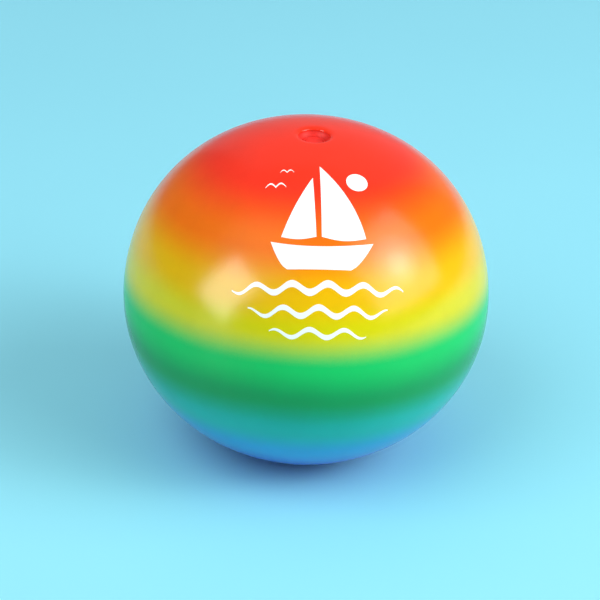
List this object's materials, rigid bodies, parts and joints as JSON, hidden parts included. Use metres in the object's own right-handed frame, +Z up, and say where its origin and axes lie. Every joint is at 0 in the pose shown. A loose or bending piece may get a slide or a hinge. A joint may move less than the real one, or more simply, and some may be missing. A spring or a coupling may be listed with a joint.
{
  "type": "inflatable beach ball",
  "caption": "Seamless inflatable vinyl ball with rainbow bands of colour and a sunk air valve at the top pole, resting on a small flat foot.",
  "frame": {"origin": "where the ball's vertical axis meets the floor, in the middle of the flat foot", "axes": "+Z up through the valve, -Y towards the printed front, +X to the right of the print"},
  "size_m": [0.23, 0.23, 0.2121],
  "materials": {
    "skin_vinyl": "glossy, sprayed in bands from red at the top to blue at the bottom",
    "valve_vinyl": "soft gloss",
    "flap_film": "clear film"
  },
  "bodies": {
    "ball": {"ball_skin": "skin_vinyl", "valve_flange": "valve_vinyl", "valve_web": "valve_vinyl"},
    "valve": {"valve_stem": "valve_vinyl", "stopper_strap": "valve_vinyl"},
    "stopper": {"stopper": "valve_vinyl"},
    "flap": {"check_flap": "flap_film"}
  },
  "joints": [
    {"name": "valve_lift", "type": "slide", "parent": "ball", "child": "valve", "axis": [0, 0, 1], "range_m": [0, 0.011], "deforming": ["valve_web"]},
    {"name": "stopper_pull", "type": "slide", "parent": "valve", "child": "stopper", "axis": [0, 0, 1], "range_m": [0, 0.01], "deforming": ["stopper_strap"]},
    {"name": "flap_hinge", "type": "hinge", "parent": "valve", "child": "flap", "pos_m": [-0.0055, 0, 0.1928], "axis": [0, 1, 0], "range_deg": [0, 55], "stiffness_Nm_per_rad": 0.00002, "springref_deg": -28.65}
  ]
}
